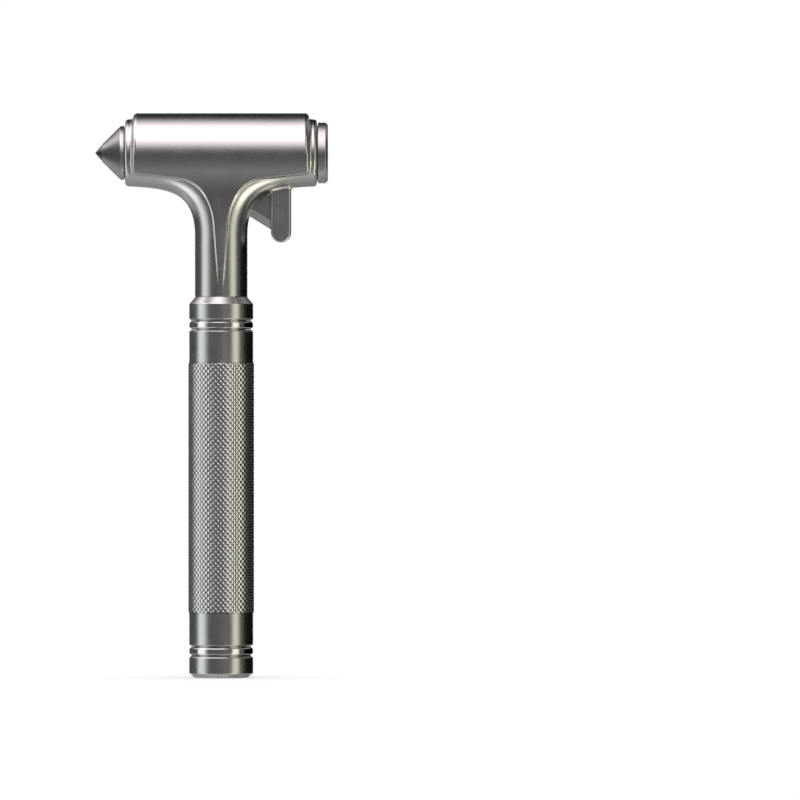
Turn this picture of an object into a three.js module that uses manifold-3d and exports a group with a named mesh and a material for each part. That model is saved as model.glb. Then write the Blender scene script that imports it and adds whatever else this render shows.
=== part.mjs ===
// Car escape hammer: a T-shaped head with a hard cone at one end and a flat face at the other,
// a belt cutter under the flat-faced arm, and a round knurled handle made of screwed sections.
// Millimetres. The origin is the middle of the tail cap's flat foot, +Z runs up the handle,
// the cone points along -X and the cutter hangs under the +X arm.
import * as THREE from 'three';
import { mergeVertices } from 'three/addons/utils/BufferGeometryUtils.js';
import { ParametricGeometry } from 'three/addons/geometries/ParametricGeometry.js';
import Module from 'manifold-3d';

// ---- Driving dimensions -------------------------------------------------------------------

const ROUND = 36; // sides of a turned piece
const SMALL_ROUND = 24; // sides of a pin, a screw or another thin turned piece
const FIT = 0.1; // radial clearance of a shaft in its hole
const SEAM = 0.12; // gap where two turned sections meet

// Handle, from the foot up
const HANDLE_R = 10;
const KNURL_R = 10.2;
const FOOT_CHAMFER = 1.4;
const GROOVE_DEPTH = 0.55; // each seam is the root of a V groove
const GROOVE_RISE = 0.56; // height of one flank of the V
const CAP_SEAM_Z = 6.86;
const TUBE_FOOT_SEAM_Z = 9.67;
const KNURL_LOW_Z = 20.4;
const KNURL_HIGH_Z = 97.6;
const TUBE_TOP_SEAM_Z = 108.2;
const COLLAR_SEAM_Z = 110.94;
const SHOULDER_LOW_Z = 116.2;
const SHOULDER_HIGH_Z = 118.3;

// Inside the handle
const TUBE_BORE_R = 7.7;
const SPIGOT_R = TUBE_BORE_R - FIT; // threaded spigots of the tail cap and the collar
const CAP_SPIGOT_TOP_Z = 20.2;
const CAP_WELL_R = 5;
const CAP_WELL_LOW_Z = 3.2;
const COLLAR_SPIGOT_LOW_Z = 98.5;
const RING_BORE_R = SPIGOT_R + FIT;
const ORING_SECTION_R = 0.62;
const ORING_MID_R = 6.95;
const ORING_GROOVE_R = 6.2;
const ORING_GROOVE_WIDTH = 1.9;
const TAIL_ORING_Z = 11.4;
const COLLAR_ORING_Z = 106.5;

// Neck joint: an M6 socket screw pulls the stem onto the collar, a dowel keeps it square
const NECK_SPIGOT_R = 5;
const NECK_SPIGOT_DEPTH = 5.1;
const NECK_GAP = 0.15;
const SCREW_R = 2.95;
const SCREW_HOLE_R = 3.3;
const SCREW_HEAD_R = 5;
const SCREW_HEAD_HEIGHT = 6;
const SCREW_SOCKET_AF = 5;
const SCREW_SOCKET_DEPTH = 3;
const SCREW_TOP_Z = 131;
const WASHER_R = 6.4;
const WASHER_THICK = 1.5;
const SPRING_WASHER_R = 5.1;
const SPRING_WASHER_THICK = 1.6;
const DOWEL_R = 1;
const DOWEL_HALF = 2.9;
const DOWEL_OFFSET = 6.55;

// Head
const HEAD_Z = 163.1; // height of the barrel's axis
const STEM_R = 8.2;
const STEM_TOP_Z = 141;
const RIM_R = 10.5; // thin rim that stands out of each end of the barrel
const RIM_HALF = 29.8;
const RIM_EDGE = 0.35;
const BARREL_R = 12.4;
const BARREL_HALF = 27.4;
const BARREL_EDGE = 0.9;
const COVE = 0.9; // hollow between the barrel's end and the rim
const BORE_R = 7.5;
const BORE_END_X = -13.5;
const SEAL_DEPTH = 1; // counterbore of each end for its washer
const SEAL_THICK = 1.05;
const SEAL_R = 7.75;
const REAR_SEAL_R = 8.7;

// Underside of each arm, half of it, as a cubic curve in x and z: rim to stem
const UNDERSIDE = [[29.8, 152.62], [16.9, 152.08], [8.2, 151.34], [8.2, 137.32]];
// Lower edge of the raised front and back panels: arm line, corner curve, taper on the stem
const PANEL_ARM = [[28.4, 156.59], [12.5, 154.85]];
const PANEL_CORNER = [[7, 154.15], [3.1, 149], [2.2, 141.5]];
const PANEL_POINT = [0.65, 121];
// Side profile of the panels, half thickness and height: barrel to stem
const FLARE = [[10.95, 157.2], [9.2, 153.9], [8.12, 150.5], [8.12, 141]];
const FLARE_FOOT = [8.19, 120];

// Striker
const STRIKER_R = 8.4;
const STRIKER_BACK_X = -30.1;
const STRIKER_FRONT_X = -31.35;
const STRIKER_TIP_X = -37.05;
const STRIKER_TIP_R = 2.7;
const STRIKER_SPIGOT_R = 5;
const STRIKER_SPIGOT_X = -17.5;
const TIP_X = -39.12;
const TIP_R = 2.35;
const TIP_POINT_R = 0.15;
const TIP_SHANK_R = 1.9;
const TIP_SHANK_LENGTH = 5;

// Rear plug and what it closes in
const PLUG_R = 9.5;
const PLUG_BACK_X = 30.12;
const PLUG_FACE_X = 33.2;
const PLUG_EDGE = 0.7;
const PLUG_SPIGOT_X = 20;
const WEIGHT_R = 7.3;
const WEIGHT_END_X = 17.6;
const PAD_THICK = 1.8;

// Guard post and belt cutter
const POST_X = 18.63;
const POST_R = 3.14;
const POST_LOW_Z = 138.4; // centre of its round end
const POST_TOP_Z = 154;
const POST_HALF_Y = 3.3;
const POST_EDGE = 0.8;
const EDGE_START = [9.08, 143.25]; // the cutting edge leaves the stem here
const EDGE_ANGLE = -0.555; // and falls towards the post at this angle
const BLADE_HALF_Y = 0.5;
const BLADE_EDGE_HALF_Y = 0.06;
const BLADE_BEVEL = 2.3;
const BLADE_LEFT_X = 6.3;
const BLADE_RIGHT_X = 20;
const BLADE_TOP_Z = 150.2;
const SLOT_GAP = 0.2;
const PIN_R = 0.8;
const PIN_ZS = { upper: 147.2, lower: 141.2 };
const PIN_FRONT_Y = -2.3;
const PIN_BACK_Y = 3.25;

// ---- Materials ----------------------------------------------------------------------------

function metal(color, roughness) {
  return new THREE.MeshStandardMaterial({ color, roughness, metalness: 1 });
}

const castMetal = () => metal(0x8c8a86, 0.34);
const turnedMetal = () => metal(0x86847f, 0.3);
const knurledMetal = () => metal(0x8a8883, 0.36);
const polishedMetal = () => metal(0xb4b2ae, 0.1);
const hardSteel = () => metal(0x77767a, 0.25);
const carbide = () => metal(0x4a4a4d, 0.4);
const bladeSteel = () => metal(0x55555a, 0.35);
const plainSteel = () => metal(0x9a9a9c, 0.4);
const sealRubber = () => new THREE.MeshStandardMaterial({ color: 0x1c1c1d, roughness: 0.85, metalness: 0 });

// ---- Solids -------------------------------------------------------------------------------

const wasm = await Module();
wasm.setup();

// A closed three.js geometry as a solid that can be joined and cut.
function solid(geometry) {
  geometry.deleteAttribute('normal');
  geometry.deleteAttribute('uv');
  const merged = mergeVertices(geometry, 1e-4);
  const triVerts = new Uint32Array(merged.index.array);
  const vertProperties = new Float32Array(merged.attributes.position.array);
  const made = new wasm.Manifold(new wasm.Mesh({ numProp: 3, vertProperties, triVerts }));
  if (made.volume() > 0) return made;
  triVerts.reverse();
  return new wasm.Manifold(new wasm.Mesh({ numProp: 3, vertProperties, triVerts }));
}

// A solid turned about the Z axis from a profile of [radius, height] points.
function turned(profile, sides = ROUND) {
  const geometry = new THREE.LatheGeometry(profile.map(([r, z]) => new THREE.Vector2(r, z)), sides);
  geometry.rotateX(Math.PI / 2);
  return solid(geometry);
}

// The same about the barrel's axis: the profile's height runs along +X.
function turnedOnBarrel(profile, sides = ROUND) {
  const geometry = new THREE.LatheGeometry(profile.map(([r, x]) => new THREE.Vector2(r, x)), sides);
  geometry.rotateZ(-Math.PI / 2);
  geometry.translate(0, 0, HEAD_Z);
  return solid(geometry);
}

// The profile of a plain rod or hole between two heights, and of a plain ring.
const rod = (radius, low, high) => [[0, low], [radius, low], [radius, high], [0, high]];
const ring = (inner, outer, low, high) =>
  [[inner, low], [outer, low], [outer, high], [inner, high], [inner, low]];

const outlineShape = (points) => new THREE.Shape(points.map(([x, z]) => new THREE.Vector2(x, z)));

// A flat shape in x and z, given thickness along Y between two planes.
function plate(shape, backY, frontY, options = {}) {
  const settings = { depth: backY - frontY, bevelEnabled: false, ...options };
  const geometry = new THREE.ExtrudeGeometry(shape, settings);
  geometry.rotateX(Math.PI / 2);
  geometry.translate(0, backY, 0);
  return solid(geometry);
}

// A rod along Y.
function rodAlongY(radius, x, z, frontY, backY) {
  const geometry = new THREE.CylinderGeometry(radius, radius, backY - frontY, SMALL_ROUND);
  geometry.translate(x, (frontY + backY) / 2, z);
  return solid(geometry);
}

const curve2 = (points) => new THREE.CubicBezierCurve(...points.map(([x, z]) => new THREE.Vector2(x, z)));
const asPairs = (vectors) => vectors.map((v) => [v.x, v.y]);
const mirrored = (points) => points.map(([x, z]) => [-x, z]);

// ---- Head casting -------------------------------------------------------------------------

// One arm's underside: a round bar that bends out of the stem and thickens into the rim.
function elbow(side) {
  const underside = curve2(UNDERSIDE);
  const rings = 16;
  const around = 28;
  const start = 0.05;
  const geometry = new ParametricGeometry(
    (u, v, target) => {
      const step = Math.round(u * (rings + 2));
      const along = THREE.MathUtils.clamp((step - 1) / rings, 0, 1);
      const t = start + (1 - start) * along;
      const foot = underside.getPoint(t);
      const way = underside.getTangent(t);
      const radius = THREE.MathUtils.lerp(RIM_R - 0.02, STEM_R, THREE.MathUtils.smoothstep(t, 0, 1));
      const swing = step === 0 || step === rings + 2 ? 0 : radius;
      const angle = 2 * Math.PI * v;
      const rise = radius - swing * Math.cos(angle);
      target.set(side * (foot.x + way.y * rise), swing * Math.sin(angle), foot.y - way.x * rise);
    },
    rings + 2,
    around,
  );
  return solid(geometry);
}

// The barrel with its rounded ends and the hollow that leads down to the rim.
function barrel() {
  const arc = (x, r, radius, from, to, steps) =>
    Array.from({ length: steps + 1 }, (_, i) => {
      const angle = from + ((to - from) * i) / steps;
      return [r + radius * Math.sin(angle), x + radius * Math.cos(angle)];
    });
  const edge = arc(BARREL_HALF - BARREL_EDGE, BARREL_R - BARREL_EDGE, BARREL_EDGE, 0, Math.PI / 2, 2);
  const hollow = arc(BARREL_HALF + COVE, RIM_R + COVE - 0.05, COVE, 1.5 * Math.PI, Math.PI, 2);
  const half = [...hollow, ...edge];
  const other = half.map(([r, x]) => [r, -x]).reverse();
  return turnedOnBarrel([[0, BARREL_HALF + COVE], ...half, ...other, [0, -BARREL_HALF - COVE]]);
}

// The raised middle: the barrel and the flare below it, cut to the panel's outline.
function raisedBody() {
  const corner = curve2([PANEL_ARM[1], ...PANEL_CORNER]);
  const half = [...PANEL_ARM.slice(0, 1), ...asPairs(corner.getPoints(9)), PANEL_POINT];
  const top = HEAD_Z + BARREL_R + 1;
  const outline = [[PANEL_ARM[0][0], top], ...half, ...mirrored(half).reverse(), [-PANEL_ARM[0][0], top]];
  const flare = [...asPairs(curve2(FLARE).getPoints(8)), FLARE_FOOT];
  const across = [[FLARE[0][0], HEAD_Z], ...flare];
  const section = outlineShape([...across, ...mirrored(across).reverse()]);
  const web = new THREE.ExtrudeGeometry(section, { depth: 2 * BARREL_HALF, bevelEnabled: false });
  web.rotateX(Math.PI / 2);
  web.rotateZ(Math.PI / 2);
  web.translate(-BARREL_HALF, 0, 0);
  return barrel().add(solid(web)).intersect(plate(outlineShape(outline), BARREL_R + 1, -BARREL_R - 1));
}

function postShape() {
  const shape = new THREE.Shape();
  shape.moveTo(POST_X - POST_R, POST_TOP_Z);
  shape.lineTo(POST_X - POST_R, POST_LOW_Z);
  shape.absarc(POST_X, POST_LOW_Z, POST_R, Math.PI, 2 * Math.PI, false);
  shape.lineTo(POST_X + POST_R, POST_TOP_Z);
  return shape;
}

// The guard post in front of the blade, with its front and back edges rounded.
function post() {
  const flat = POST_HALF_Y - POST_EDGE;
  return plate(postShape(), flat, -flat, {
    curveSegments: 8,
    bevelEnabled: true,
    bevelThickness: POST_EDGE,
    bevelSize: POST_EDGE,
    bevelOffset: -POST_EDGE,
    bevelSegments: 2,
  });
}

function castingCuts() {
  const ends = RIM_HALF + 1;
  const stemFoot = SHOULDER_HIGH_Z + NECK_GAP;
  return [
    turnedOnBarrel(rod(BORE_R, BORE_END_X, ends)),
    turnedOnBarrel(rod(REAR_SEAL_R + 0.15, RIM_HALF - SEAL_DEPTH, ends)),
    turnedOnBarrel(rod(STRIKER_SPIGOT_R + FIT, -ends, STRIKER_SPIGOT_X + 1)),
    turnedOnBarrel(rod(SEAL_R + 0.15, -ends, SEAL_DEPTH - RIM_HALF)),
    turned(rod(SCREW_R + FIT, stemFoot - NECK_SPIGOT_DEPTH - 1, SCREW_TOP_Z + 2), SMALL_ROUND),
    dowelHole(stemFoot - 1, stemFoot + DOWEL_HALF),
    bladeOutline(SLOT_GAP, POST_X + POST_R + 1, BLADE_HALF_Y + 0.15),
    pin(PIN_ZS.upper, FIT / 2, 1),
    pin(PIN_ZS.lower, FIT / 2, 1),
  ];
}

function dowelHole(low, high) {
  const geometry = new THREE.CylinderGeometry(DOWEL_R + FIT, DOWEL_R + FIT, high - low, SMALL_ROUND);
  geometry.rotateX(Math.PI / 2);
  geometry.translate(0, DOWEL_OFFSET, (low + high) / 2);
  return solid(geometry);
}

// The T head in one casting: rims, barrel, arms, stem, guard post and the seats cut in them.
function headCasting() {
  const stemFoot = SHOULDER_HIGH_Z + NECK_GAP;
  const rims = turnedOnBarrel([
    [0, -RIM_HALF],
    [RIM_R - RIM_EDGE, -RIM_HALF],
    [RIM_R, RIM_EDGE - RIM_HALF],
    [RIM_R, RIM_HALF - RIM_EDGE],
    [RIM_R - RIM_EDGE, RIM_HALF],
    [0, RIM_HALF],
  ]);
  const stem = turned([
    [0, stemFoot - NECK_SPIGOT_DEPTH],
    [NECK_SPIGOT_R, stemFoot - NECK_SPIGOT_DEPTH],
    [NECK_SPIGOT_R, stemFoot],
    [STEM_R, stemFoot],
    [STEM_R, STEM_TOP_Z],
    [0, STEM_TOP_Z],
  ]);
  const whole = rims.add(elbow(1)).add(elbow(-1)).add(stem).add(raisedBody()).add(post());
  return castingCuts().reduce((body, cut) => body.subtract(cut), whole);
}

// ---- Striker end --------------------------------------------------------------------------

// Hard cone that breaks the glass, with the threaded spigot that screws into the barrel.
function strikerCone() {
  const seat = STRIKER_TIP_X;
  const depth = TIP_SHANK_LENGTH + 0.4;
  return turnedOnBarrel([
    [0, STRIKER_SPIGOT_X],
    [STRIKER_SPIGOT_R - 0.6, STRIKER_SPIGOT_X],
    [STRIKER_SPIGOT_R, STRIKER_SPIGOT_X - 0.6],
    [STRIKER_SPIGOT_R, STRIKER_BACK_X],
    [STRIKER_R, STRIKER_BACK_X],
    [STRIKER_R, STRIKER_FRONT_X],
    [STRIKER_TIP_R, seat],
    [TIP_SHANK_R + FIT, seat],
    [TIP_SHANK_R + FIT, seat + depth],
    [0, seat + depth],
  ]);
}

// Tungsten-carbide point pressed into the end of the cone.
function carbideTip() {
  const shoulder = STRIKER_TIP_X - 0.1;
  return turnedOnBarrel([
    [0, TIP_X],
    [TIP_POINT_R, TIP_X],
    [TIP_R, shoulder - 0.1],
    [TIP_R, shoulder],
    [TIP_SHANK_R, shoulder],
    [TIP_SHANK_R, shoulder + TIP_SHANK_LENGTH],
    [0, shoulder + TIP_SHANK_LENGTH],
  ]);
}

const washerFront = STRIKER_BACK_X + 0.1;

const strikerWasher = () =>
  turnedOnBarrel(ring(STRIKER_SPIGOT_R + 0.2, SEAL_R, washerFront, washerFront + SEAL_THICK));

// ---- Flat-faced end -----------------------------------------------------------------------

// Steel slug that gives the head its weight.
const impactWeight = () => turnedOnBarrel(rod(WEIGHT_R, BORE_END_X + 0.2, WEIGHT_END_X));

const weightPad = () => turnedOnBarrel(rod(WEIGHT_R, WEIGHT_END_X + 0.2, WEIGHT_END_X + 0.2 + PAD_THICK));

// Flat striking face that closes the barrel.
function rearPlug() {
  const slope = PLUG_EDGE * 0.3;
  return turnedOnBarrel([
    [0, PLUG_SPIGOT_X],
    [WEIGHT_R - 0.5, PLUG_SPIGOT_X],
    [WEIGHT_R, PLUG_SPIGOT_X + 0.5],
    [WEIGHT_R, PLUG_BACK_X],
    [PLUG_R, PLUG_BACK_X],
    [PLUG_R, PLUG_FACE_X - PLUG_EDGE],
    [PLUG_R - slope, PLUG_FACE_X - slope],
    [PLUG_R - PLUG_EDGE, PLUG_FACE_X],
    [0, PLUG_FACE_X],
  ]);
}

const rearSeal = () =>
  turnedOnBarrel(ring(WEIGHT_R + 0.15, REAR_SEAL_R, PLUG_BACK_X - 0.1 - SEAL_THICK, PLUG_BACK_X - 0.1));

// ---- Belt cutter --------------------------------------------------------------------------

// The blade's outline grown by gap, its right end at rightX, as a plate of the given half thickness.
function bladeOutline(gap, rightX, halfY) {
  const slope = Math.tan(EDGE_ANGLE);
  const edgeAt = (x) => EDGE_START[1] + slope * (x - EDGE_START[0]) - gap * 1.2;
  const left = BLADE_LEFT_X - gap;
  const outline = [
    [left, edgeAt(left)],
    [BLADE_RIGHT_X, edgeAt(BLADE_RIGHT_X)],
    [rightX, edgeAt(BLADE_RIGHT_X)],
    [rightX, BLADE_TOP_Z + gap],
    [left, BLADE_TOP_Z + gap],
  ];
  return plate(outlineShape(outline), halfY, -halfY);
}

// Everything on the blade's side of its two bevels.
function bevels() {
  const reach = 30;
  const section = new THREE.Shape(
    [
      [0, -BLADE_EDGE_HALF_Y],
      [BLADE_BEVEL, -BLADE_HALF_Y - 0.01],
      [reach, -BLADE_HALF_Y - 0.01],
      [reach, BLADE_HALF_Y + 0.01],
      [BLADE_BEVEL, BLADE_HALF_Y + 0.01],
      [0, BLADE_EDGE_HALF_Y],
    ].map(([up, y]) => new THREE.Vector2(up, y)),
  );
  const geometry = new THREE.ExtrudeGeometry(section, { depth: 2 * reach, bevelEnabled: false });
  const along = new THREE.Vector3(Math.cos(EDGE_ANGLE), 0, Math.sin(EDGE_ANGLE));
  const up = new THREE.Vector3(-along.z, 0, along.x);
  const across = new THREE.Vector3().crossVectors(along, up);
  const start = new THREE.Vector3(EDGE_START[0], 0, EDGE_START[1]).addScaledVector(along, -reach);
  geometry.applyMatrix4(new THREE.Matrix4().makeBasis(up, across, along).setPosition(start));
  return solid(geometry);
}

function cutterBlade() {
  const blank = bladeOutline(0, BLADE_RIGHT_X + 0.01, BLADE_HALF_Y).intersect(bevels());
  return Object.values(PIN_ZS).reduce(
    (body, z) => body.subtract(rodAlongY(PIN_R + FIT, POST_X, z, -1, 1)),
    blank,
  );
}

// A dowel through the back of the post and the blade, blind at the front.
function pin(z, grow = 0, beyond = 0) {
  return rodAlongY(PIN_R + grow, POST_X, z, PIN_FRONT_Y - grow, PIN_BACK_Y + beyond);
}

// ---- Handle -------------------------------------------------------------------------------

// Foot of the handle, with the threaded spigot that screws into the grip tube.
function tailCap() {
  const top = CAP_SEAM_Z - SEAM / 2;
  const grooveLow = TAIL_ORING_Z - ORING_GROOVE_WIDTH / 2;
  return turned([
    [0, 0],
    [HANDLE_R - FOOT_CHAMFER, 0],
    [HANDLE_R, FOOT_CHAMFER],
    [HANDLE_R, top - GROOVE_RISE],
    [HANDLE_R - GROOVE_DEPTH, top],
    [SPIGOT_R, top],
    [SPIGOT_R, grooveLow],
    [ORING_GROOVE_R, grooveLow],
    [ORING_GROOVE_R, grooveLow + ORING_GROOVE_WIDTH],
    [SPIGOT_R, grooveLow + ORING_GROOVE_WIDTH],
    [SPIGOT_R, CAP_SPIGOT_TOP_Z - 0.6],
    [SPIGOT_R - 0.6, CAP_SPIGOT_TOP_Z],
    [CAP_WELL_R, CAP_SPIGOT_TOP_Z],
    [CAP_WELL_R, CAP_WELL_LOW_Z],
    [0, CAP_WELL_LOW_Z],
  ]);
}

// Bright band between two sections, with a groove flank at each end.
function trimRing(lowSeam, highSeam) {
  const low = lowSeam + SEAM / 2;
  const high = highSeam - SEAM / 2;
  return turned([
    [RING_BORE_R, low],
    [HANDLE_R - GROOVE_DEPTH, low],
    [HANDLE_R, low + GROOVE_RISE],
    [HANDLE_R, high - GROOVE_RISE],
    [HANDLE_R - GROOVE_DEPTH, high],
    [RING_BORE_R, high],
    [RING_BORE_R, low],
  ]);
}

function gripTube() {
  const low = TUBE_FOOT_SEAM_Z + SEAM / 2;
  const high = TUBE_TOP_SEAM_Z - SEAM / 2;
  const step = KNURL_R - HANDLE_R;
  return turned([
    [TUBE_BORE_R, low],
    [HANDLE_R - GROOVE_DEPTH, low],
    [HANDLE_R, low + GROOVE_RISE],
    [HANDLE_R, KNURL_LOW_Z - step],
    [KNURL_R, KNURL_LOW_Z + step],
    [KNURL_R, KNURL_HIGH_Z - step],
    [HANDLE_R, KNURL_HIGH_Z + step],
    [HANDLE_R, high - GROOVE_RISE],
    [HANDLE_R - GROOVE_DEPTH, high],
    [TUBE_BORE_R, high],
    [TUBE_BORE_R, low],
  ]);
}

// Top section of the handle: conical shoulder above, threaded spigot below.
function upperCollar() {
  const low = COLLAR_SEAM_Z + SEAM / 2;
  const grooveLow = COLLAR_ORING_Z - ORING_GROOVE_WIDTH / 2;
  const wellLow = SHOULDER_HIGH_Z + NECK_GAP - NECK_SPIGOT_DEPTH - 0.3;
  const body = turned([
    [SCREW_HOLE_R, COLLAR_SPIGOT_LOW_Z],
    [SPIGOT_R - 0.6, COLLAR_SPIGOT_LOW_Z],
    [SPIGOT_R, COLLAR_SPIGOT_LOW_Z + 0.6],
    [SPIGOT_R, grooveLow],
    [ORING_GROOVE_R, grooveLow],
    [ORING_GROOVE_R, grooveLow + ORING_GROOVE_WIDTH],
    [SPIGOT_R, grooveLow + ORING_GROOVE_WIDTH],
    [SPIGOT_R, low],
    [HANDLE_R - GROOVE_DEPTH, low],
    [HANDLE_R, low + GROOVE_RISE],
    [HANDLE_R, SHOULDER_LOW_Z],
    [STEM_R, SHOULDER_HIGH_Z],
    [NECK_SPIGOT_R + 0.15, SHOULDER_HIGH_Z],
    [NECK_SPIGOT_R + 0.15, wellLow],
    [SCREW_HOLE_R, wellLow],
    [SCREW_HOLE_R, COLLAR_SPIGOT_LOW_Z],
  ]);
  return body.subtract(dowelHole(SHOULDER_HIGH_Z - DOWEL_HALF, SHOULDER_HIGH_Z + 1));
}

function oRing(z) {
  const geometry = new THREE.TorusGeometry(ORING_MID_R, ORING_SECTION_R, 6, ROUND);
  geometry.translate(0, 0, z);
  return solid(geometry);
}

// ---- Neck fastening -----------------------------------------------------------------------

const washerLow = COLLAR_SPIGOT_LOW_Z - 0.1 - WASHER_THICK;
const springLow = washerLow - 0.1 - SPRING_WASHER_THICK;

const neckWasher = () =>
  turned(ring(SCREW_HOLE_R, WASHER_R, washerLow, washerLow + WASHER_THICK), SMALL_ROUND);

// Split spring washer, its ends a small gap apart.
function neckSpringWasher() {
  const split = new THREE.BoxGeometry(SPRING_WASHER_R, 1, 2 * SPRING_WASHER_THICK);
  split.rotateX(0.4);
  split.translate(SPRING_WASHER_R / 2 + 1, 0, springLow + SPRING_WASHER_THICK / 2);
  const body = turned(
    ring(SCREW_HOLE_R, SPRING_WASHER_R, springLow, springLow + SPRING_WASHER_THICK),
    SMALL_ROUND,
  );
  return body.subtract(solid(split));
}

function neckScrew() {
  const headTop = springLow - 0.1;
  const headLow = headTop - SCREW_HEAD_HEIGHT;
  const body = turned(
    [
      [0, headLow],
      [SCREW_HEAD_R - 0.4, headLow],
      [SCREW_HEAD_R, headLow + 0.4],
      [SCREW_HEAD_R, headTop],
      [SCREW_R, headTop],
      [SCREW_R, SCREW_TOP_Z - 0.6],
      [SCREW_R - 0.6, SCREW_TOP_Z],
      [0, SCREW_TOP_Z],
    ],
    SMALL_ROUND,
  );
  const cornerRadius = SCREW_SOCKET_AF / Math.sqrt(3);
  const socket = turned(rod(cornerRadius, headLow - 1, headLow + SCREW_SOCKET_DEPTH), 6);
  return body.subtract(socket);
}

function stemDowel() {
  const middle = SHOULDER_HIGH_Z + NECK_GAP / 2;
  const geometry = new THREE.CylinderGeometry(DOWEL_R, DOWEL_R, 2 * DOWEL_HALF - 0.4, SMALL_ROUND);
  geometry.rotateX(Math.PI / 2);
  geometry.translate(0, DOWEL_OFFSET, middle);
  return solid(geometry);
}

// ---- Assembly -----------------------------------------------------------------------------

function piece(name, body, material) {
  const mesh = body.getMesh();
  const geometry = new THREE.BufferGeometry();
  geometry.setAttribute('position', new THREE.BufferAttribute(mesh.vertProperties, 3));
  geometry.setIndex(new THREE.BufferAttribute(mesh.triVerts, 1));
  geometry.computeVertexNormals();
  const made = new THREE.Mesh(geometry, material);
  made.name = name;
  return made;
}

const head = new THREE.Group();
head.add(
  piece('head_casting', headCasting(), castMetal()),
  piece('striker_cone', strikerCone(), hardSteel()),
  piece('carbide_tip', carbideTip(), carbide()),
  piece('striker_washer', strikerWasher(), plainSteel()),
  piece('impact_weight', impactWeight(), plainSteel()),
  piece('weight_pad', weightPad(), sealRubber()),
  piece('rear_plug', rearPlug(), turnedMetal()),
  piece('rear_seal', rearSeal(), sealRubber()),
  piece('cutter_blade', cutterBlade(), bladeSteel()),
  piece('blade_pin_upper', pin(PIN_ZS.upper), plainSteel()),
  piece('blade_pin_lower', pin(PIN_ZS.lower), plainSteel()),
);

const handle = new THREE.Group();
handle.add(
  piece('upper_collar', upperCollar(), turnedMetal()),
  piece('upper_trim_ring', trimRing(TUBE_TOP_SEAM_Z, COLLAR_SEAM_Z), polishedMetal()),
  piece('collar_o_ring', oRing(COLLAR_ORING_Z), sealRubber()),
  piece('grip_tube', gripTube(), knurledMetal()),
  piece('lower_trim_ring', trimRing(CAP_SEAM_Z, TUBE_FOOT_SEAM_Z), polishedMetal()),
  piece('tail_o_ring', oRing(TAIL_ORING_Z), sealRubber()),
  piece('tail_cap', tailCap(), turnedMetal()),
);

const neck = new THREE.Group();
neck.add(
  piece('neck_screw', neckScrew(), plainSteel()),
  piece('neck_spring_washer', neckSpringWasher(), plainSteel()),
  piece('neck_washer', neckWasher(), plainSteel()),
  piece('stem_dowel', stemDowel(), plainSteel()),
);

const hammer = new THREE.Group();
hammer.name = 'escape_hammer';
hammer.add(head, handle, neck);

export default hammer;
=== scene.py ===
"""Car escape hammer: the looks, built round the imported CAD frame.

Sizes are in millimetres in the frame's own axes: +Z up the handle, the cone towards -X. Meshes are made
in metres. Radii and heights come from the CAD nodes' boxes; the small ones are named at the top.
"""
import math

import bpy
import numpy as np
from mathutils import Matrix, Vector


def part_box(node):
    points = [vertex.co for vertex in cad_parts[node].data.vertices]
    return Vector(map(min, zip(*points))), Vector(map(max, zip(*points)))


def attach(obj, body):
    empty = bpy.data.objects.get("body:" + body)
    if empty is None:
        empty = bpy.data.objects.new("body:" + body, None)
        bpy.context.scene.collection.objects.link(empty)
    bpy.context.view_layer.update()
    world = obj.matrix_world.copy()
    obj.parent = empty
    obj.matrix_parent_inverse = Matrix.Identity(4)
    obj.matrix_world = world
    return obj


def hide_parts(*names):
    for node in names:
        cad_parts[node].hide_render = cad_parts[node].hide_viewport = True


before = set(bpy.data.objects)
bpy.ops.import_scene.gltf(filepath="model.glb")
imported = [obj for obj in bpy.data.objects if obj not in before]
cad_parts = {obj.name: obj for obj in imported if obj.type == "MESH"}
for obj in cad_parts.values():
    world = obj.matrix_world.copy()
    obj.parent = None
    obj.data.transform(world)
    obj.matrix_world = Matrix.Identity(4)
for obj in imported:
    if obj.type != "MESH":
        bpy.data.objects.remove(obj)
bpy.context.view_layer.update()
MM = 0.001

# ---- Sizes that the frame gives -----------------------------------------------------------


def box_mm(node):
    """A node's lowest and highest corner in millimetres."""
    low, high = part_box(node)
    return np.array(low) / MM, np.array(high) / MM


CAST_LOW, CAST_HIGH = box_mm("head_casting")
BARREL_R = (CAST_HIGH[1] - CAST_LOW[1]) / 2
HEAD_Z = CAST_HIGH[2] - BARREL_R
RIM_HALF = CAST_HIGH[0]
SPIGOT_LOW_Z = CAST_LOW[2]
CAP_HIGH = box_mm("tail_cap")[1]
HANDLE_R = CAP_HIGH[0]
TUBE_LOW, TUBE_HIGH = box_mm("grip_tube")
KNURL_R = TUBE_HIGH[0]
COLLAR_LOW, COLLAR_HIGH = box_mm("upper_collar")
LOW_RING_LOW, LOW_RING_HIGH = box_mm("lower_trim_ring")
HIGH_RING_LOW, HIGH_RING_HIGH = box_mm("upper_trim_ring")
CONE_HIGH = box_mm("striker_cone")[1]
TIP_LOW, TIP_HIGH = box_mm("carbide_tip")
PLUG_LOW, PLUG_HIGH = box_mm("rear_plug")
ORING_LOW, ORING_HIGH = box_mm("tail_o_ring")
WASHER_LOW, WASHER_HIGH = box_mm("striker_washer")
PIN_LOW, PIN_HIGH = box_mm("blade_pin_upper")
LOW_PIN_LOW, LOW_PIN_HIGH = box_mm("blade_pin_lower")

# ---- Small sizes ----------------------------------------------------------------------------

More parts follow.
